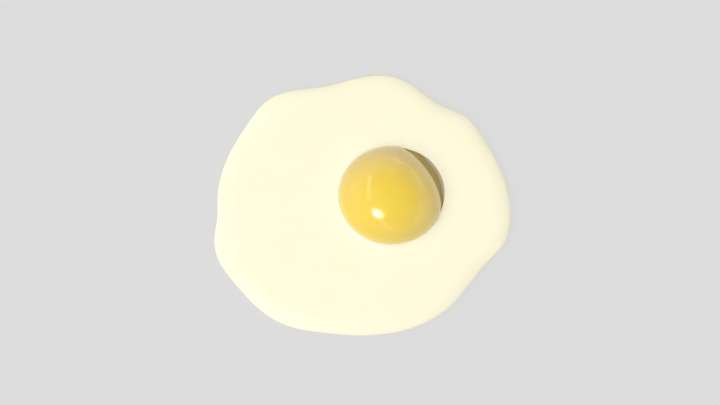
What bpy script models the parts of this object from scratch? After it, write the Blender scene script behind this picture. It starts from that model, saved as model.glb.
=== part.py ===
"""A fried egg, sunny side up: a flat set white with a low soft collar, and a domed yolk standing in it.

The white rests on its flat underside at z = 0, with the origin under the middle of its outline. X runs along
its longer side. The yolk stands in a shallow blind socket in the white, off to +X and a little to +Y. On its
+X +Y side the yolk's skin has drawn in from the collar, which leaves an open crescent over a ledge of yolk.
"""

import math

import bmesh
import bpy
import numpy as np

MM = 0.001

# The white's widest line, as points (degrees, millimetres) round the origin, joined by one smooth curve
WHITE_OUTLINE = (
    (22, 52.3),
    (31, 51.5),
    (40, 50.9),
    (47, 48.5),
    (56, 47.1),
    (72, 49.1),
    (110, 46.6),
    (131, 52.3),
    (143, 52.2),
    (176, 53.7),
    (186, 54.2),
    (195, 56.7),
    (212, 55.4),
    (236, 53.1),
    (250, 50.1),
    (287, 49.0),
    (312, 50.0),
    (336, 51.5),
    (346, 55.1),
    (354, 55.6),
)

# The white's heights and the widths of its forms, from the opening for the yolk outwards
WHITE_THICKNESS = 4.0 * MM
WIDEST_HEIGHT = 1.3 * MM
UNDERCUT_WIDTH = 1.1 * MM
SHOULDER_WIDTH = 8.0 * MM
COLLAR_RISE = 0.8 * MM
COLLAR_FALLOFF = 1.8 * MM
TROUGH_DEPTH = 0.08 * MM
TROUGH_DISTANCE = 4.5 * MM
TROUGH_WIDTH = 2.5 * MM
CREST_WIDTH = 0.35 * MM
CREST_ROUNDING = 0.25 * MM

# The opening in the white, an ellipse, and the socket below it
OPENING_CENTRE = (10.8 * MM, 3.7 * MM)
OPENING_HALF_LENGTH = 19.6 * MM
OPENING_HALF_WIDTH = 18.2 * MM
SOCKET_FLOOR = 1.6 * MM

# The yolk
CLEARANCE = 0.3 * MM
YOLK_TOP = 19.8 * MM
YOLK_EDGE_HEIGHT = 4.6 * MM
YOLK_BASE = SOCKET_FLOOR + CLEARANCE

# The crescent: how far the skin has drawn in, the lift of its lip, the arc in degrees that it draws in over,
# and the power that thins its tips
CRESCENT_DEPTH = 3.1 * MM
CRESCENT_LIFT = 0.6 * MM
CRESCENT_MIDDLE = 29.0
CRESCENT_HALF_ARC = 54.0
CRESCENT_THINNING = 1.15

# The shorter arc over which the yolk drops away below the lip, and the degrees over which each end fades in
DROP_HALF_ARC = 46.0
DROP_FADE = 14.0

# The yolk's side below its edge where the skin fits the socket, as (inset from the edge, height) pairs
CLOSED_SIDE = (
    (0.08 * MM, 4.1 * MM),
    (0.18 * MM, 3.6 * MM),
    (0.35 * MM, 3.1 * MM),
    (0.55 * MM, 2.7 * MM),
    (0.85 * MM, 2.3 * MM),
    (1.60 * MM, YOLK_BASE),
)

# The same points where the lip hangs over a ledge, as (inset, height, whether the inset counts from the lip)
OPEN_SIDE = (
    (0.30 * MM, 4.7 * MM, True),
    (0.80 * MM, 3.8 * MM, True),
    (0.00 * MM, 2.9 * MM, True),
    (0.60 * MM, 2.65 * MM, False),
    (0.90 * MM, 2.3 * MM, False),
    (1.60 * MM, YOLK_BASE, False),
)

# How finely the two bodies are skinned: columns all round, and rings across each form
COLUMNS = 96
DOME_RINGS = 11
COLLAR_RINGS = 6
FIELD_RINGS = 6
SHOULDER_RINGS = 6
UNDERCUT_RINGS = 3
SHARP_ANGLE = math.radians(50)

# The band that the collar's rings lie in, and the power that gathers them towards its crest
COLLAR_WIDTH = 6.5 * MM
COLLAR_SPREAD = 1.5

WHITE_COLOUR = "FFFADC"
WHITE_ROUGHNESS = 0.4
YOLK_COLOUR = "F2CF52"
YOLK_ROUGHNESS = 0.15


def linear_colour(code):
    """An sRGB hex colour as the linear red, green, blue and alpha that a shader takes."""
    parts = [int(code[start : start + 2], 16) / 255 for start in (0, 2, 4)]
    return [part / 12.92 if part <= 0.04045 else ((part + 0.055) / 1.055) ** 2.4 for part in parts] + [1.0]


def closed_curve(points):
    """A function of the angle in degrees: the periodic cubic curve through the points."""
    angles = np.array([point[0] for point in points], dtype=float)
    values = np.array([point[1] for point in points], dtype=float)
    count = len(points)
    steps = np.diff(np.append(angles, angles[0] + 360))
    slopes = (np.roll(values, -1) - values) / steps
    system = np.zeros((count, count))
    for here in range(count):
        system[here, here - 1] = steps[here - 1]
        system[here, here] = 2 * (steps[here - 1] + steps[here])
        system[here, (here + 1) % count] = steps[here]
    bends = np.linalg.solve(system, 6 * (slopes - np.roll(slopes, 1)))

    def value_at(angle):
        angle = (angle - angles[0]) % 360 + angles[0]
        here = int(np.searchsorted(angles, angle, side="right")) - 1
        after = (here + 1) % count
        step = steps[here]
        near = angle - angles[here]
        far = step - near
        cubic = (bends[here] * far**3 + bends[after] * near**3) / (6 * step)
        straight = (values[here] / step - bends[here] * step / 6) * far
        return cubic + straight + (values[after] / step - bends[after] * step / 6) * near

    return value_at


def opening_radius(angle):
    """The radius of the opening's ellipse at an angle in degrees about its centre."""
    turn = math.radians(angle)
    return 1 / math.hypot(math.cos(turn) / OPENING_HALF_LENGTH, math.sin(turn) / OPENING_HALF_WIDTH)


def around_yolk(angle, radius, height):
    """The point at an angle in degrees and a radius about the opening's centre."""
    turn = math.radians(angle)
    return (
        OPENING_CENTRE[0] + radius * math.cos(turn),
        OPENING_CENTRE[1] + radius * math.sin(turn),
        height,
    )


def column_angles():
    return [360 * column / COLUMNS for column in range(COLUMNS)]


def eased(share):
    """A smooth step from 1 at a share of 0 down to 0 at a share of 1."""
    share = min(max(share, 0.0), 1.0)
    return 0.5 + 0.5 * math.cos(math.pi * share)


def field_height(distance):
    """The height of the white's top at a distance out from the crest of its collar, away from its rim."""
    collar = COLLAR_RISE * math.exp(-distance / COLLAR_FALLOFF)
    trough = TROUGH_DEPTH * math.exp(-(((distance - TROUGH_DISTANCE) / TROUGH_WIDTH) ** 2))
    return WHITE_THICKNESS + collar - trough


def degrees_inside(angle, half_arc):
    """How many degrees an angle lies inside an arc about the crescent's middle, or 0 outside it."""
    from_middle = abs((angle - CRESCENT_MIDDLE + 180) % 360 - 180)
    return max(half_arc - from_middle, 0.0)


def draw_in_share(angle):
    """How far the skin has drawn in at an angle about the yolk, from 0 to 1."""
    inside = degrees_inside(angle, CRESCENT_HALF_ARC) / CRESCENT_HALF_ARC
    return math.sin(0.5 * math.pi * inside) ** CRESCENT_THINNING


def drop_share(angle):
    """How far the yolk has dropped away below the lip at an angle about it, from 0 to 1."""
    return 1 - eased(degrees_inside(angle, DROP_HALF_ARC) / DROP_FADE)


def white_column(angle, outline):
    """The white's section from the socket's floor, over the collar and the rim, to the flat underside."""
    opening = opening_radius(angle)
    floor_inset, _ = CLOSED_SIDE[-1]
    points = [around_yolk(angle, opening - floor_inset, SOCKET_FLOOR)]
    for inset, height in reversed(CLOSED_SIDE[:-1]):
        points.append(around_yolk(angle, opening - inset, height))
    points.append(around_yolk(angle, opening, YOLK_EDGE_HEIGHT - CREST_ROUNDING / 2))

    crest_x, crest_y, _ = around_yolk(angle, opening + CREST_WIDTH, 0.0)
    turn = math.radians(angle)
    reach = outline(angle) * MM
    rim_x = reach * math.cos(turn)
    rim_y = reach * math.sin(turn)
    length = math.hypot(rim_x - crest_x, rim_y - crest_y)

    def across(distance, height):
        share = distance / length
        return crest_x + (rim_x - crest_x) * share, crest_y + (rim_y - crest_y) * share, height

    for ring in range(COLLAR_RINGS):
        distance = COLLAR_WIDTH * (ring / COLLAR_RINGS) ** COLLAR_SPREAD
        points.append(across(distance, field_height(distance)))
    field = length - COLLAR_WIDTH - SHOULDER_WIDTH
    for ring in range(FIELD_RINGS):
        distance = COLLAR_WIDTH + field * ring / FIELD_RINGS
        points.append(across(distance, field_height(distance)))
    for ring in range(SHOULDER_RINGS):
        swing = 0.5 * math.pi * ring / SHOULDER_RINGS
        distance = length - SHOULDER_WIDTH * (1 - math.sin(swing))
        rise = field_height(distance) - WIDEST_HEIGHT
        points.append(across(distance, WIDEST_HEIGHT + rise * math.cos(swing)))
    for ring in range(UNDERCUT_RINGS + 1):
        swing = 0.5 * math.pi * ring / UNDERCUT_RINGS
        distance = length - UNDERCUT_WIDTH * (1 - math.cos(swing))
        points.append(across(distance, WIDEST_HEIGHT * (1 - math.sin(swing))))
    return points


def yolk_column(angle):
    """The yolk's section from near its top, down the dome and its side, to the base."""
    draw_in = CRESCENT_DEPTH * draw_in_share(angle)
    drop = drop_share(angle)
    edge = opening_radius(angle) - CLEARANCE
    lip = edge - draw_in
    lip_height = YOLK_EDGE_HEIGHT + CRESCENT_LIFT * draw_in_share(angle)
    points = []
    for ring in range(1, DOME_RINGS + 1):
        swing = 0.5 * math.pi * ring / DOME_RINGS
        height = lip_height + (YOLK_TOP - lip_height) * math.cos(swing)
        points.append(around_yolk(angle, lip * math.sin(swing), height))
    for (closed_inset, closed_height), (open_inset, open_height, from_lip) in zip(CLOSED_SIDE, OPEN_SIDE):
        if from_lip:
            open_inset += draw_in
        inset = closed_inset + (open_inset - closed_inset) * drop
        height = closed_height + (open_height - closed_height) * drop
        points.append(around_yolk(angle, edge - inset, height))
    return points


def closed_body(name, first, columns, last, material):
    """A body skinned over columns of points that all run from one end point to the other."""
    mesh = bpy.data.meshes.new(name)
    shape = bmesh.new()
    start = shape.verts.new(first)
    end = shape.verts.new(last)
    grid = [[shape.verts.new(point) for point in column] for column in columns]
    for here, column in enumerate(grid):
        beside = grid[(here + 1) % len(grid)]
        shape.faces.new((start, column[0], beside[0]))
        for upper in range(len(column) - 1):
            shape.faces.new((column[upper], column[upper + 1], beside[upper + 1], beside[upper]))
        shape.faces.new((column[-1], end, beside[-1]))
    bmesh.ops.recalc_face_normals(shape, faces=shape.faces)
    shape.to_mesh(mesh)
    shape.free()
    mesh.materials.append(material)
    mesh.shade_smooth()
    mesh.set_sharp_from_angle(angle=SHARP_ANGLE)
    body = bpy.data.objects.new(name, mesh)
    bpy.context.scene.collection.objects.link(body)
    return body


def food_material(name, colour, roughness):
    material = bpy.data.materials.new(name)
    material.use_nodes = True
    shader = material.node_tree.nodes["Principled BSDF"]
    shader.inputs["Base Color"].default_value = linear_colour(colour)
    shader.inputs["Roughness"].default_value = roughness
    shader.inputs["Metallic"].default_value = 0.0
    return material


def make_white():
    outline = closed_curve(WHITE_OUTLINE)
    columns = [white_column(angle, outline) for angle in column_angles()]
    socket_middle = (OPENING_CENTRE[0], OPENING_CENTRE[1], SOCKET_FLOOR)
    material = food_material("set egg white", WHITE_COLOUR, WHITE_ROUGHNESS)
    return closed_body("egg_white", socket_middle, columns, (0.0, 0.0, 0.0), material)


def make_yolk():
    columns = [yolk_column(angle) for angle in column_angles()]
    top = (OPENING_CENTRE[0], OPENING_CENTRE[1], YOLK_TOP)
    base = (OPENING_CENTRE[0], OPENING_CENTRE[1], YOLK_BASE)
    material = food_material("soft yolk", YOLK_COLOUR, YOLK_ROUGHNESS)
    return closed_body("yolk", top, columns, base, material)


def main():
    for old in list(bpy.data.objects):
        bpy.data.objects.remove(old, do_unlink=True)
    make_white()
    make_yolk()


main()
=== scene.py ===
"""A fried egg, sunny side up: a moist set white, and a glossy yolk standing in its collar.

Lengths are in metres and angles in degrees unless a comment says otherwise. The egg lies on its
underside at z = 0, with X along its longer side, and is seen from straight above in soft light.
"""

import math
import random

import bpy
import numpy as np
from mathutils import Matrix, Vector, noise


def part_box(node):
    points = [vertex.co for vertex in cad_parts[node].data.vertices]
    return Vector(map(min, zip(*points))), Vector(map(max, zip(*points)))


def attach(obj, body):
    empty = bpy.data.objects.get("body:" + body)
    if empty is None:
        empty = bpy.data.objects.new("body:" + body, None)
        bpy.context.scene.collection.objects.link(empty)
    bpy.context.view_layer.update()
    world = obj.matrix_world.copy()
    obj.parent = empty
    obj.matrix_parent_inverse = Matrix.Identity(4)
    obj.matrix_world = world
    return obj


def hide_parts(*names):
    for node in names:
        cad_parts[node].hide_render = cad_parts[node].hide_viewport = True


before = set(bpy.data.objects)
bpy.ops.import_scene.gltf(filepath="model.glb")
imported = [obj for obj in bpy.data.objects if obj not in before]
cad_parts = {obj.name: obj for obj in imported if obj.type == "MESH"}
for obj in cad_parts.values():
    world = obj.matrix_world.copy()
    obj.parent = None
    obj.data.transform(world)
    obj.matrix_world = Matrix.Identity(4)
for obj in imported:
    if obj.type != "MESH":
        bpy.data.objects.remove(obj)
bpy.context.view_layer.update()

bl_info = {
    "name": "Fried egg",
    "version": (1, 0, 0),
    "blender": (4, 5, 0),
    "location": "3D View > Sidebar > Fried egg",
    "description": "Makes a fried egg, its white and its yolk, on a lit studio floor",
    "category": "Add Mesh",
}

MM = 0.001
BODY = "root"

# The solids that the fine pieces stand for give the heights
WHITE_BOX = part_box("egg_white")
YOLK_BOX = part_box("yolk")

# The white's widest line: points (degrees, millimetres) round the origin, on one smooth curve
WHITE_OUTLINE = (
    (22, 52.3),
    (31, 51.5),
    (40, 50.9),
    (47, 48.5),
    (56, 47.1),
    (72, 49.1),
    (110, 46.6),
    (131, 52.3),
    (143, 52.2),
    (176, 53.7),
    (186, 54.2),
    (195, 56.7),
    (212, 55.4),
    (236, 53.1),
    (250, 50.1),
    (287, 49.0),
    (312, 50.0),
    (336, 51.5),
    (346, 55.1),
    (354, 55.6),
)

# The white's forms: its rim, its collar, the trough round that, and the collar's rounded crest
WIDEST_HEIGHT = 1.3 * MM
UNDERCUT_WIDTH = 1.1 * MM
COLLAR_FALLOFF = 1.8 * MM
COLLAR_WIDTH = 6.5 * MM
COLLAR_SPREAD = 1.5
TROUGH_DISTANCE = 4.5 * MM
TROUGH_WIDTH = 2.5 * MM
CREST_WIDTH = 0.35 * MM
CREST_DROP = 0.33 * MM

# What is uneven in the white: heights, and the clouds of each kind as (size of one, seed). The
# frill runs round the rim, and its clouds are measured on a circle of radius 1.
FRILL_HEIGHT = 0.1 * MM
FRILL_CLOUDS = (0.12, 4)
SWELL_CLOUDS = (16 * MM, 1)
RIPPLE_CLOUDS = (2.6 * MM, 2)

# Flat blisters in the top and steam pits in the underside, as (count, seed, least and greatest
# radius, least and greatest height, how far from the origin they reach). The smallest have only
# a share of a large one's height, and the pits fade in over a share of the way in from the
# underside's edge.
BLISTERS = (70, 3, (0.7 * MM, 1.6 * MM), (0.02 * MM, 0.07 * MM), 54 * MM)
LARGE_PITS = (130, 5, (1.0 * MM, 2.8 * MM), (0.06 * MM, 0.30 * MM), 53 * MM)
SMALL_PITS = (420, 6, (0.5 * MM, 1.1 * MM), (0.05 * MM, 0.14 * MM), 54 * MM)
SMALLEST_SHARE = 0.4
PIT_MARGIN = 0.08

# Each seed's step through the noise, and how its octaves fall off in height and in size
SEED_STEP = Vector((17.0, 5.0, 11.0))
OCTAVE_FALL = 1.0
OCTAVE_RATIO = 2.0

# The opening in the white, an ellipse, and the socket below it, whose wall leans in by the lean
# times the depth squared
OPENING_CENTRE = (10.8 * MM, 3.7 * MM)
OPENING_HALF_LENGTH = 19.6 * MM
OPENING_HALF_WIDTH = 18.2 * MM
SOCKET_FLOOR = 1.6 * MM
SOCKET_LEAN = 130.0

# The yolk's edge, the lift of its lip over the crescent, and the arcs over which it draws in,
# leaves a shelf just under its lip, and drops away to a deeper ledge
YOLK_CLEARANCE = 0.3 * MM
YOLK_EDGE_HEIGHT = 4.6 * MM
CRESCENT_LIFT = 0.6 * MM
CRESCENT_MIDDLE = 29.0
CRESCENT_HALF_ARC = 54.0
CRESCENT_THINNING = 1.15
SHELF_HALF_ARC = 53.0
SHELF_FADE = 6.0
DROP_MIDDLE = 23.0
DROP_HALF_ARC = 40.0
DROP_FADE = 24.0

# Outside the crescent the white has bonded to the yolk: its edge closes on the skin and creeps
# up it a little. It opens inward from the crescent's tips, which a power under 1 makes blunt.
BOND_GAP = 0.01 * MM
BOND_RISE = 0.06 * MM
TIP_MIDDLE = 28.0
TIP_HALF_ARC = 51.0
TIP_FADE = 40.0
TIP_POWER = 0.55

# The yolk's side below its edge where the skin fits the socket, as (inset, height, whether the
# inset counts from the lip), then the same points where it has a shelf, and where its lip hangs
# over the deeper ledge
CLOSED_SIDE = (
    (0.08 * MM, 4.1 * MM, False),
    (0.18 * MM, 3.6 * MM, False),
    (0.35 * MM, 3.1 * MM, False),
    (0.55 * MM, 2.7 * MM, False),
    (0.85 * MM, 2.3 * MM, False),
    (1.60 * MM, YOLK_BOX[0][2], False),
)
SHELF_SIDE = (
    (0.12 * MM, 4.4 * MM, True),
    (0.14 * MM, 4.25 * MM, True),
    (-0.02 * MM, 4.15 * MM, True),
    (-0.15 * MM, 4.05 * MM, False),
    (0.45 * MM, 2.9 * MM, False),
    (1.60 * MM, YOLK_BOX[0][2], False),
)
OPEN_SIDE = (
    (0.30 * MM, 4.7 * MM, True),
    (0.80 * MM, 3.8 * MM, True),
    (0.00 * MM, 2.9 * MM, True),
    (0.60 * MM, 2.65 * MM, False),
    (0.90 * MM, 2.3 * MM, False),
    (1.60 * MM, YOLK_BOX[0][2], False),
)

# How many rings up the dome the curve down the yolk's side takes its direction from, the rings
# of the base as shares of its radius, and how little the point at the top stands over its ring
SIDE_LEAD = 4
BASE_SHARES = (0.97, 0.9, 0.7, 0.4)
TOP_RISE = 0.001 * MM

# The slow swells of the yolk's dome, which fade in above its edge, and the folds in its skin,
# which fade out away from the lip. Both clouds are (size of one, seed).
DOME_SWELL = 0.04 * MM
DOME_CLOUDS = (9 * MM, 7)
DOME_FADE = 4 * MM
FOLD_CLOUDS = (1.5 * MM, 8)
FOLD_FADE = 1.6 * MM
FOLD_STRETCH = (1.0, 1.0, 0.25)

# How finely the pieces are skinned: columns all round, rings across each form, and steps between
# two points of the yolk's side
WHITE_COLUMNS = 416
WALL_RINGS = 14
CREST_RINGS = 6
COLLAR_RINGS = 22
FIELD_RINGS = 74
SHOULDER_RINGS = 30
UNDERCUT_RINGS = 9
UNDERSIDE_RINGS = 50
YOLK_COLUMNS = 320
DOME_RINGS = 72
SIDE_STEPS = 6

# Where the colours turn: the heights between which the painted shade of the socket and of the
# ledge fades in downwards, and, by how far out it is with 1 at the opening's edge, where the
# socket's painted shade ends and the ends of the collar's colour round the yolk: thicker white,
# made lighter as painted light
SHADE_START = 4.6 * MM
SHADE_FULL = 4.2 * MM
LEDGE_SHADE_FULL = 4.15 * MM
SOCKET_SHADE_END = 1.012
SOCKET_SHADE_FULL = 1.002
THICK_AND_LIT_START = 1.15
THICK_AND_LIT_END = 1.7

# The real sizes that the materials' patterns are drawn from: the thinner patches of the set
# white, its fine grain and how high that stands, and the paler clouds in the yolk. The white's
# satin goes from one roughness to the other from patch to patch.
PATCH_SIZE = 9 * MM
GRAIN_SIZE = 0.9 * MM
GRAIN_RELIEF = 0.04 * MM
PALE_SIZE = 6 * MM
SATIN_SMOOTH = 0.45
SATIN_ROUGH = 0.6

# The veil on the yolk, part film of cooked white and part painted sheen and painted shade, by how
# far out it is: 1 is at the opening's edge, and the lean adds to that on one side, away from the
# key. The power thins it towards the yolk's middle.
VEIL_AND_SHEEN_MIDDLE = 47.0
VEIL_AND_SHEEN_LEAN = 0.4
VEIL_AND_SHEEN_START = 0.2
VEIL_AND_SHEEN_FULL = 1.06
VEIL_AND_SHEEN_POWER = 1.9

# Where the key and the fill come from, as (azimuth, angle off the vertical), how wide each is,
# and how far every lamp stands from the yolk
KEY_WAY = (198.0, 46.0)
KEY_SPREAD = 60
FILL_WAY = (0.0, 0.0)
FILL_SPREAD = 170
LIGHT_DISTANCE = 0.6

# The dim ceiling's edge above the pale walls: how high the direction to it points, from 0 to 1,
# how softly it ends, and how much further it runs in Y
CEILING_EDGE = 0.6
CEILING_SOFTNESS = 0.2
CEILING_STRETCH = 0.37

# The floor: half its side, how far it lies below the egg, and the share of it that is lit from
# below
FLOOR_REACH = 4.0
FLOOR_DROP = 0.02 * MM
FLOOR_GLOW = 0.6

# What the wet yolk mirrors, as (name, one end's way, the other's, width, share of its kind's
# brightness): a window that shines through a curtain which is dimmer towards its edge, so the
# highlight has a soft edge too, then faint strips
WINDOW = (
    ("window", (230.2, 46.6), (241.8, 49.3), 7.2, 0.8),
    ("curtain", (225.8, 45.6), (244.9, 50.0), 12.2, 0.4),
    ("curtain edge", (218.8, 44.0), (251.8, 51.6), 21.0, 0.21),
)
STRIPS = (
    ("left strip", (130.0, 60.5), (196.0, 42.0), 8.0, 1.0),
    ("upper right strip", (44.5, 83.0), (15.0, 73.0), 6.0, 0.45),
    ("lower right strip", (355.0, 57.5), (309.0, 75.0), 4.5, 0.55),
    ("lower strip", (247.0, 56.0), (269.0, 75.0), 5.0, 0.85),
    ("upper strip", (84.0, 81.0), (62.0, 78.0), 6.0, 0.7),
)

# The photograph's width and its lens in pixels, the film's width in millimetres, as Blender has
# it, the point over the egg where the camera stands, and how near it sees
PICTURE_WIDTH = 720
LENS_PIXELS = 489.0
FILM_WIDTH = 36.0
CAMERA_PLACE = (-0.72 * MM, 1.03 * MM)
CAMERA_CLIP = 10 * MM


def linear(code):
    """An sRGB hex colour as linear red, green and blue, by the numbers of the sRGB standard."""
    parts = [int(code[start : start + 2], 16) / 255 for start in (0, 2, 4)]
    return tuple(
        part / 12.92 if part <= 0.04045 else ((part + 0.055) / 1.055) ** 2.4 for part in parts
    )


def length_property(name, description, default):
    return bpy.props.FloatProperty(
        name=name, description=description, default=default, unit="LENGTH", precision=5
    )


def strength_property(name, description, default):
    return bpy.props.FloatProperty(name=name, description=description, default=default, min=0.0)


def colour_property(name, description, code):
    return bpy.props.FloatVectorProperty(
        name=name, description=description, default=linear(code), subtype="COLOR", min=0.0, max=1.0
    )


class FRIEDEGG_PG_white(bpy.types.PropertyGroup):
    thickness: length_property("Thickness", "Height of the level part of the white", 4.0 * MM)
    shoulder_width: length_property(
        "Rim width", "Width over which the white rounds off to its rim", 8.0 * MM
    )
    trough_depth: length_property(
        "Trough depth", "Depth of the shallow ring round the collar", 0.08 * MM
    )
    swell: length_property("Swell", "Height of the slow unevenness of the top", 0.07 * MM)
    ripple: length_property(
        "Ripple", "Height of the finer unevenness left by the setting white", 0.012 * MM
    )
    body_colour: colour_property("Body", "Colour of the thick white", "FDF3D5")
    thin_colour: colour_property("Thin parts", "Colour of the moister, thinner white", "FCF5DC")
    # The collar's colour is the thicker white round the yolk, made lighter and bluer as painted
    # light
    collar_colour: colour_property(
        "Collar", "Colour of the thicker, more opaque white round the yolk", "FEF8DD"
    )
    # The socket's colour is a painted shade, darker than the white, for the recess round the yolk
    socket_shade_colour: colour_property("Socket", "Colour of the wet white inside the socket", "CDC5AF")


class FRIEDEGG_PG_yolk(bpy.types.PropertyGroup):
    top: length_property("Top", "Height of the top of the yolk", YOLK_BOX[1][2])
    crescent_depth: length_property(
        "Crescent", "How far the yolk's skin has drawn in from the collar", 3.1 * MM
    )
    pucker: length_property(
        "Pucker", "Height of the fine folds in the skin along the crescent", 0.05 * MM
    )
    body_colour: colour_property("Body", "Colour of the yolk", "EAC93D")
    pale_colour: colour_property("Pale clouds", "Colour of the paler clouds in the yolk", "EECF50")
    # The veil's colour is partly a film of cooked white and partly painted sheen and painted shade
    veil_and_sheen_colour: colour_property(
        "Veil", "Colour of the yolk under its film of cooked white", "DDC78F"
    )
    # The ledge's olive is a painted shade under the yolk's lip
    ledge_shade_colour: colour_property("Ledge", "Colour of the yolk below its lip", "AC9B59")


class FRIEDEGG_PG_stage(bpy.types.PropertyGroup):
    camera_height: length_property(
        "Camera height", "Height of the camera over the floor", 183.2 * MM
    )
    floor_colour: colour_property("Floor", "Colour of the pale floor", "DADADA")
    key_strength: strength_property("Key", "Strength of the broad key light", 1.38)
    fill_strength: strength_property("Fill", "Strength of the even light without shadows", 1.71)
    room_strength: strength_property(
        "Room", "Strength of the room's own light, which leaves soft shadows", 0.22
    )
    window_glow: strength_property(
        "Window", "Brightness of the window that the wet yolk mirrors", 54.0
    )
    strip_glow: strength_property(
        "Strips", "Brightness of the faint strips that the wet yolk mirrors", 6.0
    )
    wall_glow: strength_property(
        "Walls", "Brightness of the walls that glossy surfaces mirror", 1.75
    )
    ceiling_glow: strength_property(
        "Ceiling", "Brightness of the ceiling that glossy surfaces mirror", 0.9
    )


def direction(azimuth, off_vertical):
    """The unit vector at an azimuth from +X and an angle off the vertical."""
    turn = math.radians(azimuth)
    tilt = math.radians(off_vertical)
    sideways = math.sin(tilt)
    return Vector((math.cos(turn) * sideways, math.sin(turn) * sideways, math.cos(tilt)))


def closed_curve(points):
    """A function of angles in degrees: the periodic cubic curve through the points, in metres."""
    angles = np.array([point[0] for point in points], dtype=float)
    values = np.array([point[1] for point in points], dtype=float) * MM
    count = len(points)
    steps = np.diff(np.append(angles, angles[0] + 360))
    slopes = (np.roll(values, -1) - values) / steps
    system = np.zeros((count, count))
    for here in range(count):
        system[here, here - 1] = steps[here - 1]
        system[here, here] = 2 * (steps[here - 1] + steps[here])
        system[here, (here + 1) % count] = steps[here]
    bends = np.linalg.solve(system, 6 * (slopes - np.roll(slopes, 1)))

    def value_at(angle):
        angle = (angle - angles[0]) % 360 + angles[0]
        here = np.searchsorted(angles, angle, side="right") - 1
        after = (here + 1) % count
        step = steps[here]
        near = angle - angles[here]
        far = step - near
        cubic = (bends[here] * far**3 + bends[after] * near**3) / (6 * step)
        straight = (values[here] / step - bends[here] * step / 6) * far
        return cubic + straight + (values[after] / step - bends[after] * step / 6) * near

    return value_at


def column_angles(columns):
    return np.arange(columns) * 360 / columns


def opening_radius(angles):
    """The radius of the opening's ellipse at angles about its centre."""
    turns = np.radians(angles)
    return 1 / np.hypot(np.cos(turns) / OPENING_HALF_LENGTH, np.sin(turns) / OPENING_HALF_WIDTH)


def around_yolk(angles, radius, height):
    """A ring of points about the opening's centre, at a radius and a height, or one a column."""
    turns = np.radians(angles)
    x = OPENING_CENTRE[0] + radius * np.cos(turns)
    y = OPENING_CENTRE[1] + radius * np.sin(turns)
    return np.stack([x, y, np.broadcast_to(height, x.shape)], axis=-1)


def eased(share):
    """A smooth step from 1 at a share of 0 down to 0 at a share of 1."""
    return 0.5 + 0.5 * np.cos(np.pi * np.clip(share, 0.0, 1.0))


def degrees_inside(angles, half_arc, middle=CRESCENT_MIDDLE):
    """How many degrees angles lie inside an arc about its middle, or 0 outside it."""
    from_middle = np.abs((angles - middle + 180) % 360 - 180)
    return np.maximum(half_arc - from_middle, 0.0)


def draw_in_share(angles):
    """How far the yolk's skin has drawn in at angles about it, from 0 to 1."""
    inside = degrees_inside(angles, CRESCENT_HALF_ARC) / CRESCENT_HALF_ARC
    return np.sin(0.5 * math.pi * inside) ** CRESCENT_THINNING


def shelf_share(angles):
    """How far the yolk's side is a shelf under its lip at angles about it, from 0 to 1."""
    return 1 - eased(degrees_inside(angles, SHELF_HALF_ARC) / SHELF_FADE)


def drop_share(angles):
    """How far the yolk has dropped away below its lip at angles about it, from 0 to 1."""
    return 1 - eased(degrees_inside(angles, DROP_HALF_ARC, DROP_MIDDLE) / DROP_FADE)


def lip_radius(angles, crescent_depth):
    """The radius of the yolk's edge about the opening's centre, drawn in over the crescent."""
    return opening_radius(angles) - YOLK_CLEARANCE - crescent_depth * draw_in_share(angles)


def clouds(points, size, seed, depth=2):
    """Soft noise between about -1 and 1 at each point, with clouds of a size and some octaves."""
    offset = SEED_STEP * seed
    flat = np.asarray(points).reshape(-1, 3) / size
    values = [
        noise.fractal(Vector(point) + offset, OCTAVE_FALL, OCTAVE_RATIO, depth) for point in flat
    ]
    return np.array(values).reshape(np.asarray(points).shape[:-1])


def skin(name, first, rings, last, material):
    """A closed mesh over rings of points, capped by a point at each end, facing out."""
    count, columns = rings.shape[:2]
    points = np.concatenate([[first], rings.reshape(-1, 3), [last]])
    column = np.arange(columns)
    beside = (column + 1) % columns
    top = np.stack([np.zeros(columns, dtype=int), 1 + column, 1 + beside], axis=1)
    start = 1 + np.arange(count - 1)[:, None] * columns
    after = start + columns
    quads = np.stack([start + column, after + column, after + beside, start + beside], axis=-1)
    foot = 1 + (count - 1) * columns
    bottom = np.stack([foot + column, np.full(columns, len(points) - 1), foot + beside], axis=1)
    faces = top.tolist() + quads.reshape(-1, 4).tolist() + bottom.tolist()
    mesh = bpy.data.meshes.new(name)
    mesh.from_pydata(points.tolist(), [], faces)
    mesh.validate()
    mesh.shade_smooth()
    mesh.materials.append(material)
    piece = bpy.data.objects.new(name, mesh)
    bpy.context.scene.collection.objects.link(piece)
    return piece


def node(tree, kind, settings=(), inputs=(), links=()):
    """Adds a node with its settings, its inputs' values, and links from other nodes' outputs."""
    made = tree.nodes.new(kind)
    for key, value in dict(settings).items():
        setattr(made, key, value)
    for key, value in dict(inputs).items():
        made.inputs[key].default_value = value
    for key, output in dict(links).items():
        tree.links.new(output, made.inputs[key])
    return made


def new_material(name):
    material = bpy.data.materials.new(name)
    material.use_nodes = True
    material.node_tree.nodes.clear()
    return material, material.node_tree


def per_size(size):
    """A noise texture's scale for clouds of a size in metres."""
    return 1 / size


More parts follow.
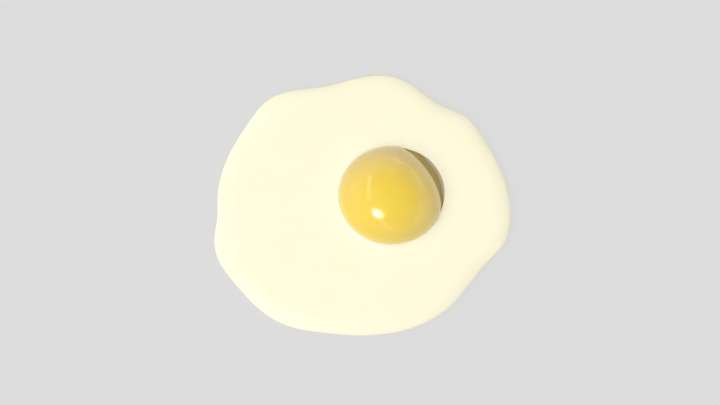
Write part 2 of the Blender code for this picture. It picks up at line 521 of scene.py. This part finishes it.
def masks_at_yolk(tree, place, fade_top, fade_bottom):
    """A point's place about the yolk, with the opening's edge at 1 all round, how far out that is,
    and how far down it is from one height, at 0, to another, at 1."""
    about_yolk = node(
        tree,
        "ShaderNodeMapping",
        settings={"vector_type": "TEXTURE"},
        inputs={
            "Location": (*OPENING_CENTRE, 0.0),
            "Scale": (OPENING_HALF_LENGTH, OPENING_HALF_WIDTH, 1.0),
        },
        links={"Vector": place},
    )
    flat = node(
        tree,
        "ShaderNodeVectorMath",
        settings={"operation": "MULTIPLY"},
        inputs={1: (1.0, 1.0, 0.0)},
        links={0: about_yolk.outputs[0]},
    )
    out = node(
        tree,
        "ShaderNodeVectorMath",
        settings={"operation": "LENGTH"},
        links={0: flat.outputs[0]},
    )
    height = node(tree, "ShaderNodeSeparateXYZ", links={0: place}).outputs["Z"]
    depth = node(
        tree,
        "ShaderNodeMapRange",
        settings={"interpolation_type": "SMOOTHSTEP"},
        inputs={"From Min": fade_top, "From Max": fade_bottom},
        links={"Value": height},
    )
    return flat.outputs[0], out.outputs["Value"], depth.outputs["Result"]


def set_white_material(settings):
    """Egg white set by heat: a moist elastic gel that scatters light a few millimetres deep, so it
    looks soft and has no hard shadows. Its surface set against air, so it is satin, under a thin
    film of water and fat. The film's index is close to the gel's, so the gel under it mirrors
    little. Round the yolk it is the thicker white of the collar, lighter and bluer partly as
    painted light against the yellow light the yolk throws and its shade. In the socket, where it is
    thinner and wetter, its greyer, darker colour is a painted shade of the recess."""
    material, tree = new_material("set egg white")
    place = node(tree, "ShaderNodeTexCoord").outputs["Object"]
    patches = node(
        tree,
        "ShaderNodeTexNoise",
        inputs={"Scale": per_size(PATCH_SIZE), "Detail": 3.0},
        links={"Vector": place},
    )
    body = node(
        tree,
        "ShaderNodeMix",
        settings={"data_type": "RGBA"},
        inputs={"A": (*settings.body_colour, 1.0), "B": (*settings.thin_colour, 1.0)},
        links={"Factor": patches.outputs["Fac"]},
    )
    _, out, depth = masks_at_yolk(tree, place, SHADE_START, SHADE_FULL)
    # Round the yolk the colour turns to the collar's: thicker white, lightened as painted light
    beside = node(
        tree,
        "ShaderNodeMapRange",
        settings={"interpolation_type": "SMOOTHSTEP"},
        inputs={"From Min": THICK_AND_LIT_END, "From Max": THICK_AND_LIT_START},
        links={"Value": out},
    )
    top = node(
        tree,
        "ShaderNodeMix",
        settings={"data_type": "RGBA"},
        inputs={"B": (*settings.collar_colour, 1.0)},
        links={"Factor": beside.outputs["Result"], "A": body.outputs["Result"]},
    )
    # The socket's colour, a painted shade of the recess, is for what lies inside the opening, deep
    # down, but over the underside
    within = node(
        tree,
        "ShaderNodeMapRange",
        inputs={"From Min": SOCKET_SHADE_END, "From Max": SOCKET_SHADE_FULL},
        links={"Value": out},
    )
    above_base = node(
        tree,
        "ShaderNodeMath",
        settings={"operation": "GREATER_THAN"},
        inputs={1: SOCKET_FLOOR / 2},
        links={0: node(tree, "ShaderNodeSeparateXYZ", links={0: place}).outputs["Z"]},
    )
    inside = node(
        tree,
        "ShaderNodeMath",
        settings={"operation": "MULTIPLY"},
        links={0: within.outputs["Result"], 1: above_base.outputs[0]},
    )
    # Painted shade in the socket: darker downwards inside the opening
    socket = node(
        tree,
        "ShaderNodeMath",
        settings={"operation": "MULTIPLY"},
        links={0: inside.outputs[0], 1: depth},
    )
    colour = node(
        tree,
        "ShaderNodeMix",
        settings={"data_type": "RGBA"},
        inputs={"B": (*settings.socket_shade_colour, 1.0)},
        links={"Factor": socket.outputs[0], "A": top.outputs["Result"]},
    )
    sheen = node(
        tree,
        "ShaderNodeMapRange",
        inputs={"To Min": SATIN_SMOOTH, "To Max": SATIN_ROUGH},
        links={"Value": patches.outputs["Fac"]},
    )
    grain = node(
        tree,
        "ShaderNodeTexNoise",
        inputs={"Scale": per_size(GRAIN_SIZE), "Detail": 4.0},
        links={"Vector": place},
    )
    relief = node(
        tree,
        "ShaderNodeBump",
        inputs={"Strength": 0.35, "Distance": GRAIN_RELIEF},
        links={"Height": grain.outputs["Fac"]},
    )
    shader = node(
        tree,
        "ShaderNodeBsdfPrincipled",
        inputs={
            "IOR": 1.36,
            "Specular IOR Level": 0.2,
            "Subsurface Weight": 0.35,
            "Subsurface Radius": (1.0, 0.85, 0.6),
            "Subsurface Scale": 1.6 * MM,
            "Coat Weight": 0.05,
            "Coat Roughness": 0.3,
            "Coat IOR": 1.33,
        },
        links={
            "Base Color": colour.outputs["Result"],
            "Roughness": sheen.outputs["Result"],
            "Normal": relief.outputs[0],
        },
    )
    node(tree, "ShaderNodeOutputMaterial", links={"Surface": shader.outputs[0]})
    return material


def yolk_material(settings):
    """Soft egg yolk in its skin: an opaque fatty liquid, cloudy and even, under a thin smooth skin
    that is wet all over. The wet skin alone mirrors the room, in small soft-edged highlights over
    an even yellow, because the yolk's own index is close to its skin's. Towards its rim it turns
    paler and greyer: partly a film of cooked white, thickest over the crescent, and partly a
    painted sheen and painted shade, most on the side away from the key. Below the lip its olive
    is a painted shade."""
    material, tree = new_material("soft egg yolk")
    place = node(tree, "ShaderNodeTexCoord").outputs["Object"]
    pale = node(
        tree,
        "ShaderNodeTexNoise",
        inputs={"Scale": per_size(PALE_SIZE), "Detail": 4.0},
        links={"Vector": place},
    )
    body = node(
        tree,
        "ShaderNodeMix",
        settings={"data_type": "RGBA"},
        inputs={"A": (*settings.body_colour, 1.0), "B": (*settings.pale_colour, 1.0)},
        links={"Factor": pale.outputs["Fac"]},
    )
    flat, out, depth = masks_at_yolk(tree, place, YOLK_EDGE_HEIGHT, LEDGE_SHADE_FULL)
    # The veil: cooked white with a painted sheen and painted shade towards the rim, away from the
    # key
    towards = node(
        tree,
        "ShaderNodeVectorMath",
        settings={"operation": "DOT_PRODUCT"},
        inputs={1: direction(VEIL_AND_SHEEN_MIDDLE, 90)},
        links={0: flat},
    )
    lean = node(
        tree,
        "ShaderNodeMath",
        settings={"operation": "MULTIPLY_ADD"},
        inputs={1: VEIL_AND_SHEEN_LEAN},
        links={0: towards.outputs["Value"], 2: out},
    )
    near_rim = node(
        tree,
        "ShaderNodeMapRange",
        inputs={"From Min": VEIL_AND_SHEEN_START, "From Max": VEIL_AND_SHEEN_FULL},
        links={"Value": lean.outputs[0]},
    )
    veil = node(
        tree,
        "ShaderNodeMath",
        settings={"operation": "POWER"},
        inputs={1: VEIL_AND_SHEEN_POWER},
        links={0: near_rim.outputs["Result"]},
    )
    veiled = node(
        tree,
        "ShaderNodeMix",
        settings={"data_type": "RGBA"},
        inputs={"B": (*settings.veil_and_sheen_colour, 1.0)},
        links={"Factor": veil.outputs[0], "A": body.outputs["Result"]},
    )
    # Below the lip the colour turns to the ledge's painted shade, fading in downwards
    colour = node(
        tree,
        "ShaderNodeMix",
        settings={"data_type": "RGBA"},
        inputs={"B": (*settings.ledge_shade_colour, 1.0)},
        links={"Factor": depth, "A": veiled.outputs["Result"]},
    )
    shader = node(
        tree,
        "ShaderNodeBsdfPrincipled",
        inputs={
            "IOR": 1.4,
            "Specular IOR Level": 0.1,
            "Roughness": 0.6,
            "Subsurface Weight": 0.12,
            "Subsurface Radius": (1.0, 0.6, 0.2),
            "Subsurface Scale": 1.2 * MM,
            "Coat Weight": 0.75,
            "Coat Roughness": 0.14,
            "Coat IOR": 1.34,
        },
        links={"Base Color": colour.outputs["Result"]},
    )
    node(tree, "ShaderNodeOutputMaterial", links={"Surface": shader.outputs[0]})
    return material


def floor_material(settings):
    """A matt painted studio floor that is also lit from below, as a light table is, so shadows on
    it are faint."""
    material, tree = new_material("matt floor paint")
    colour = (*settings.floor_colour, 1.0)
    paint = node(tree, "ShaderNodeBsdfDiffuse", inputs={"Color": colour})
    glow = node(tree, "ShaderNodeEmission", inputs={"Color": colour, "Strength": 1.0})
    both = node(
        tree,
        "ShaderNodeMixShader",
        inputs={"Fac": FLOOR_GLOW},
        links={1: paint.outputs[0], 2: glow.outputs[0]},
    )
    node(tree, "ShaderNodeOutputMaterial", links={"Surface": both.outputs[0]})
    return material


def bumps(points, spots):
    """The height at each point of smooth round bumps (x, y, radius, height), the highest of them
    where they meet."""
    total = np.zeros(points.shape[:-1])
    for x, y, radius, height in spots:
        share = ((points[..., 0] - x) ** 2 + (points[..., 1] - y) ** 2) / radius**2
        total = np.maximum(total, height * np.clip(1 - share, 0.0, None) ** 2)
    return total


def scattered_spots(count, seed, radii, heights, reach):
    """Round spots drawn evenly over a disc of a reach, small ones more often than large ones."""
    draw = random.Random(seed)
    spots = []
    for _ in range(count):
        far = reach * math.sqrt(draw.random())
        turn = draw.uniform(0, 2 * math.pi)
        share = draw.random() ** 2
        radius = radii[0] + (radii[1] - radii[0]) * share
        bulk = SMALLEST_SHARE + (1 - SMALLEST_SHARE) * share
        height = heights[0] + (heights[1] - heights[0]) * draw.random() * bulk
        spots.append((far * math.cos(turn), far * math.sin(turn), radius, height))
    return spots


def field_height(settings, distance):
    """The height of the white's top at distances out from its collar's crest, but for the rim."""
    collar = (WHITE_BOX[1][2] - settings.thickness) * np.exp(-distance / COLLAR_FALLOFF)
    trough = settings.trough_depth * np.exp(-(((distance - TROUGH_DISTANCE) / TROUGH_WIDTH) ** 2))
    return settings.thickness + collar - trough


def collar_edge(angles, crescent_depth):
    """The radius of the collar's inner edge at angles about the yolk, and how far it stands open,
    from 0 to 1."""
    from_tip = np.minimum(degrees_inside(angles, TIP_HALF_ARC, TIP_MIDDLE) / TIP_FADE, 1.0)
    gape = np.sin(0.5 * math.pi * from_tip) ** TIP_POWER
    bond = lip_radius(angles, crescent_depth) + BOND_GAP
    return bond + (opening_radius(angles) - bond) * gape, gape


def socket_rings(angles, crescent_depth):
    """The socket from its floor up the leaning wall, and over the collar's inner edge, which is
    rounded over the crescent and meets the yolk in a small fillet elsewhere."""
    opening = opening_radius(angles)
    inner, gape = collar_edge(angles, crescent_depth)
    top = WHITE_BOX[1][2]
    wall_top = top - CREST_DROP
    rings = []
    for ring in range(WALL_RINGS):
        height = SOCKET_FLOOR + (wall_top - SOCKET_FLOOR) * ring / WALL_RINGS
        depth = YOLK_EDGE_HEIGHT - height
        rings.append(around_yolk(angles, opening - SOCKET_LEAN * depth**2, height))
    for ring in range(CREST_RINGS):
        swing = 0.5 * math.pi * ring / CREST_RINGS
        out = inner + CREST_WIDTH * (1 - math.cos(swing))
        rounded = wall_top + CREST_DROP * math.sin(swing)
        fillet = top + BOND_RISE * (1 - math.sin(swing)) ** 2
        rings.append(around_yolk(angles, out, fillet + (rounded - fillet) * gape))
    return rings


def white_rings(settings, crescent_depth):
    """The rings of the white from the socket's floor, over the collar and rim, to the underside."""
    angles = column_angles(WHITE_COLUMNS)
    inner, _ = collar_edge(angles, crescent_depth)
    crest = around_yolk(angles, inner + CREST_WIDTH, 0.0)
    turns = np.radians(angles)
    ways = np.stack([np.cos(turns), np.sin(turns), np.zeros(WHITE_COLUMNS)], axis=1)
    frill = FRILL_HEIGHT * clouds(ways, *FRILL_CLOUDS)
    reach = closed_curve(WHITE_OUTLINE)(angles) + frill
    rim = ways * reach[:, None]
    length = np.hypot(*(rim - crest)[:, :2].T)

    def across(distance, height):
        points = crest + (rim - crest) * (distance / length)[:, None]
        points[:, 2] = height
        return points

    rings = socket_rings(angles, crescent_depth)
    shares = []
    for ring in range(COLLAR_RINGS):
        distance = np.full(WHITE_COLUMNS, COLLAR_WIDTH * (ring / COLLAR_RINGS) ** COLLAR_SPREAD)
        rings.append(across(distance, field_height(settings, distance)))
        shares.append(1 - eased(distance / COLLAR_WIDTH))
    field = length - COLLAR_WIDTH - settings.shoulder_width
    for ring in range(FIELD_RINGS):
        distance = COLLAR_WIDTH + field * ring / FIELD_RINGS
        rings.append(across(distance, field_height(settings, distance)))
        shares.append(np.ones(WHITE_COLUMNS))
    for ring in range(SHOULDER_RINGS):
        swing = 0.5 * math.pi * ring / SHOULDER_RINGS
        distance = length - settings.shoulder_width * (1 - math.sin(swing))
        rise = field_height(settings, distance) - WIDEST_HEIGHT
        rings.append(across(distance, WIDEST_HEIGHT + rise * math.cos(swing)))
        shares.append(np.full(WHITE_COLUMNS, math.cos(swing)))
    top = np.array(rings[-len(shares) :])
    rings[-len(shares) :] = top + top_relief(settings, top, np.array(shares))
    for ring in range(UNDERCUT_RINGS):
        swing = 0.5 * math.pi * ring / UNDERCUT_RINGS
        distance = length - UNDERCUT_WIDTH * (1 - math.cos(swing))
        rings.append(across(distance, WIDEST_HEIGHT * (1 - math.sin(swing))))
    foot = across(length - UNDERCUT_WIDTH, 0.0)
    inward = np.arange(UNDERSIDE_RINGS) / UNDERSIDE_RINGS
    under = foot[None] * (1 - inward)[:, None, None]
    under[..., 2] = underside_relief(under) * eased(1 - inward / PIT_MARGIN)[:, None]
    return np.concatenate([np.array(rings), under])


def top_relief(settings, points, shares):
    """What the set white's top has beyond its plain form: slow swells, a finer ripple and a few
    flat blisters."""
    flat = points * (1.0, 1.0, 0.0)
    swell = settings.swell * clouds(flat, *SWELL_CLOUDS)
    ripple = settings.ripple * clouds(flat, *RIPPLE_CLOUDS)
    blisters = bumps(points, scattered_spots(*BLISTERS))
    lift = np.zeros_like(points)
    lift[..., 2] = (swell + ripple + blisters) * shares
    return lift


def underside_relief(points):
    """The pits that steam leaves in the side that set against the pan."""
    large = bumps(points, scattered_spots(*LARGE_PITS))
    small = bumps(points, scattered_spots(*SMALL_PITS))
    return np.maximum(large, small)


def smooth_path(stations, steps):
    """Points in even steps on a smooth curve through stations, but for its first and last spans,
    which only give it its directions there."""
    points = []
    for before, here, after, beyond in zip(stations, stations[1:], stations[2:], stations[3:]):
        for step in range(steps):
            share = step / steps
            bend = 2 * before - 5 * here + 4 * after - beyond
            twist = 3 * (here - after) + beyond - before
            points.append(here + 0.5 * share * (after - before + share * (bend + share * twist)))
    return points


def yolk_rings(settings):
    """The rings of the yolk from near its top, down the dome and its side, to the base."""
    angles = column_angles(YOLK_COLUMNS)
    draw_in = settings.crescent_depth * draw_in_share(angles)
    edge = opening_radius(angles) - YOLK_CLEARANCE
    lip = edge - draw_in
    lip_height = YOLK_EDGE_HEIGHT + CRESCENT_LIFT * draw_in_share(angles)
    dome = []
    for ring in range(1, DOME_RINGS + 1):
        swing = 0.5 * math.pi * ring / DOME_RINGS
        height = lip_height + (settings.top - lip_height) * math.cos(swing)
        dome.append(np.stack([lip * math.sin(swing), height]))
    side = []
    for points in zip(CLOSED_SIDE, SHELF_SIDE, OPEN_SIDE):
        closed, shelf, opened = [
            np.stack([edge - inset - draw_in * from_lip, np.full(YOLK_COLUMNS, height)])
            for inset, height, from_lip in points
        ]
        shelved = closed + (shelf - closed) * shelf_share(angles)
        side.append(shelved + (opened - shelved) * drop_share(angles))
    base = [side[-1] * np.array([[share], [1.0]]) for share in BASE_SHARES]
    stations = [dome[-SIDE_LEAD], dome[-1], *side, base[0]]
    profile = dome[:-1] + smooth_path(stations, SIDE_STEPS) + [side[-1]] + base
    rings = np.array([around_yolk(angles, radius, height) for radius, height in profile])
    return rings, angles


def yolk_relief(settings, rings, angles):
    """The yolk's slow unevenness, and the fine folds in its skin along the lip of the crescent."""
    middle = np.array([*OPENING_CENTRE, YOLK_EDGE_HEIGHT])
    ways = rings - middle
    ways /= np.linalg.norm(ways, axis=-1, keepdims=True)
    above_edge = np.clip((rings[..., 2] - YOLK_EDGE_HEIGHT) / DOME_FADE, 0.0, 1.0)
    swell = DOME_SWELL * clouds(rings, *DOME_CLOUDS) * above_edge
    lip_ring = rings[DOME_RINGS - 1]
    from_lip = np.abs(rings[..., 2] - lip_ring[..., 2])
    near_lip = np.exp(-from_lip / FOLD_FADE) * drop_share(angles)
    folds = clouds(rings * FOLD_STRETCH, *FOLD_CLOUDS, depth=1)
    return rings + ways * (swell + settings.pucker * folds * near_lip)[..., None]


def finished(piece, replaced):
    """Sets a piece on the body, and hides the solid that it stands for."""
    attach(piece, BODY)
    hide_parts(replaced)


class FRIEDEGG_OT_white(bpy.types.Operator):
    """Make the set white with its collar, rim and pitted underside"""

    bl_idname = "fried_egg.white"
    bl_label = "Make the white"

    def execute(self, context):
        settings = context.scene.fried_egg_white
        rings = white_rings(settings, context.scene.fried_egg_yolk.crescent_depth)
        socket_floor = (*OPENING_CENTRE, SOCKET_FLOOR)
        underside = (0.0, 0.0, 0.0)
        material = set_white_material(settings)
        piece = skin("set_white", socket_floor, rings, underside, material)
        finished(piece, "egg_white")
        return {"FINISHED"}


class FRIEDEGG_OT_yolk(bpy.types.Operator):
    """Make the domed yolk with the crescent where its skin has drawn in"""

    bl_idname = "fried_egg.yolk"
    bl_label = "Make the yolk"

    def execute(self, context):
        settings = context.scene.fried_egg_yolk
        rings, angles = yolk_rings(settings)
        rings = yolk_relief(settings, rings, angles)
        top = (*OPENING_CENTRE, float(rings[0, :, 2].mean()) + TOP_RISE)
        base = (*OPENING_CENTRE, YOLK_BOX[0][2])
        piece = skin("yolk_dome", top, rings, base, yolk_material(settings))
        finished(piece, "yolk")
        return {"FINISHED"}


def make_floor(settings):
    mesh = bpy.data.meshes.new("floor")
    signs = ((-1, -1), (1, -1), (1, 1), (-1, 1))
    corners = [(FLOOR_REACH * x, FLOOR_REACH * y, 0) for x, y in signs]
    mesh.from_pydata(corners, [], [(0, 1, 2, 3)])
    mesh.materials.append(floor_material(settings))
    floor = bpy.data.objects.new("floor", mesh)
    floor.location.z = -FLOOR_DROP
    bpy.context.scene.collection.objects.link(floor)


def make_light(name, kind, way, energy, **settings):
    """A lamp that shines on the yolk from a direction, with the lamp's own settings by name."""
    lamp = bpy.data.lights.new(name, kind)
    lamp.energy = energy
    for key, value in settings.items():
        setattr(lamp, key, value)
    light = bpy.data.objects.new(name, lamp)
    light.location = Vector((*OPENING_CENTRE, YOLK_BOX[1][2])) + way * LIGHT_DISTANCE
    light.rotation_euler = way.to_track_quat("Z", "Y").to_euler()
    bpy.context.scene.collection.objects.link(light)
    return light


def make_panel(name, shape, first, last, width, glow):
    """A bright shape that only glossy surfaces see, from one direction from the yolk to another,
    and of a width in degrees."""
    start = direction(*first)
    end = direction(*last)
    way = (start + end).normalized()
    length = 2 * LIGHT_DISTANCE * math.tan(start.angle(end) / 2)
    breadth = 2 * LIGHT_DISTANCE * math.tan(math.radians(width) / 2)
    energy = glow * math.pi * length * breadth
    panel = make_light(name, "AREA", way, energy, shape=shape, size=length, size_y=breadth)
    along = (end - start).normalized()
    panel.rotation_euler = Matrix((along, way.cross(along), way)).transposed().to_euler()
    panel.visible_diffuse = False


def make_lights(settings):
    """Soft lights without shadows of their own, a broad key from the left and a fill from above,
    which no surface mirrors, then the window and the faint strips, which are only mirrored."""
    for name, way, spread, strength in (
        ("key", KEY_WAY, KEY_SPREAD, settings.key_strength),
        ("fill", FILL_WAY, FILL_SPREAD, settings.fill_strength),
    ):
        angle = math.radians(spread)
        light = make_light(name, "SUN", direction(*way), strength, angle=angle, use_shadow=False)
        light.visible_glossy = False
    for name, first, last, width, share in WINDOW:
        make_panel(name, "ELLIPSE", first, last, width, settings.window_glow * share)
    for name, first, last, width, share in STRIPS:
        make_panel(name, "RECTANGLE", first, last, width, settings.strip_glow * share)


def make_room(settings):
    """The room's even light, which glossy surfaces see as pale walls under a dim ceiling."""
    world = bpy.data.worlds.new("room")
    world.use_nodes = True
    tree = world.node_tree
    tree.nodes.clear()
    place = node(tree, "ShaderNodeTexCoord").outputs["Generated"]
    mirrored = node(
        tree,
        "ShaderNodeVectorMath",
        settings={"operation": "ABSOLUTE"},
        links={0: place},
    )
    overhead = node(
        tree,
        "ShaderNodeVectorMath",
        settings={"operation": "DOT_PRODUCT"},
        inputs={1: (0.0, CEILING_STRETCH, 1.0)},
        links={0: mirrored.outputs[0]},
    )
    walls = node(
        tree,
        "ShaderNodeMapRange",
        settings={"interpolation_type": "SMOOTHSTEP"},
        inputs={
            "From Min": CEILING_EDGE + CEILING_SOFTNESS,
            "From Max": CEILING_EDGE - CEILING_SOFTNESS,
            "To Min": settings.ceiling_glow,
            "To Max": settings.wall_glow,
        },
        links={"Value": overhead.outputs["Value"]},
    )
    glossy = node(tree, "ShaderNodeLightPath").outputs["Is Glossy Ray"]
    strength = node(
        tree,
        "ShaderNodeMix",
        inputs={"A": settings.room_strength},
        links={"Factor": glossy, "B": walls.outputs["Result"]},
    )
    backdrop = node(
        tree,
        "ShaderNodeBackground",
        inputs={"Color": (1.0, 1.0, 1.0, 1.0)},
        links={"Strength": strength.outputs[0]},
    )
    node(tree, "ShaderNodeOutputWorld", links={"Surface": backdrop.outputs[0]})
    bpy.context.scene.world = world


def make_camera(settings):
    """A camera straight above, its top towards +Y, a little off the egg's middle as the
    photograph frames it."""
    camera = bpy.data.cameras.new("camera")
    camera.sensor_width = FILM_WIDTH
    camera.lens = FILM_WIDTH * LENS_PIXELS / PICTURE_WIDTH
    camera.clip_start = CAMERA_CLIP
    holder = bpy.data.objects.new("camera", camera)
    holder.location = (*CAMERA_PLACE, settings.camera_height)
    bpy.context.scene.collection.objects.link(holder)
    bpy.context.scene.camera = holder


class FRIEDEGG_OT_stage(bpy.types.Operator):
    """Make the pale floor, the soft studio lights and the camera"""

    bl_idname = "fried_egg.stage"
    bl_label = "Make the stage"

    def execute(self, context):
        settings = context.scene.fried_egg_stage
        make_floor(settings)
        make_lights(settings)
        make_room(settings)
        make_camera(settings)
        context.scene.view_settings.view_transform = "Standard"
        return {"FINISHED"}


class FRIEDEGG_PT_panel(bpy.types.Panel):
    bl_idname = "FRIEDEGG_PT_panel"
    bl_label = "Fried egg"
    bl_space_type = "VIEW_3D"
    bl_region_type = "UI"
    bl_category = "Fried egg"

    def draw(self, context):
        scene = context.scene
        for settings, operator in (
            (scene.fried_egg_white, FRIEDEGG_OT_white),
            (scene.fried_egg_yolk, FRIEDEGG_OT_yolk),
            (scene.fried_egg_stage, FRIEDEGG_OT_stage),
        ):
            box = self.layout.box()
            for name in settings.__annotations__:
                box.prop(settings, name)
            box.operator(operator.bl_idname)


CLASSES = (
    FRIEDEGG_PG_white,
    FRIEDEGG_PG_yolk,
    FRIEDEGG_PG_stage,
    FRIEDEGG_OT_white,
    FRIEDEGG_OT_yolk,
    FRIEDEGG_OT_stage,
    FRIEDEGG_PT_panel,
)


def register():
    for made in CLASSES:
        bpy.utils.register_class(made)
    bpy.types.Scene.fried_egg_white = bpy.props.PointerProperty(type=FRIEDEGG_PG_white)
    bpy.types.Scene.fried_egg_yolk = bpy.props.PointerProperty(type=FRIEDEGG_PG_yolk)
    bpy.types.Scene.fried_egg_stage = bpy.props.PointerProperty(type=FRIEDEGG_PG_stage)


def unregister():
    del bpy.types.Scene.fried_egg_white
    del bpy.types.Scene.fried_egg_yolk
    del bpy.types.Scene.fried_egg_stage
    for made in reversed(CLASSES):
        bpy.utils.unregister_class(made)


def main():
    register()
    bpy.ops.fried_egg.white()
    bpy.ops.fried_egg.yolk()
    bpy.ops.fried_egg.stage()


if __name__ == "__main__":
    main()
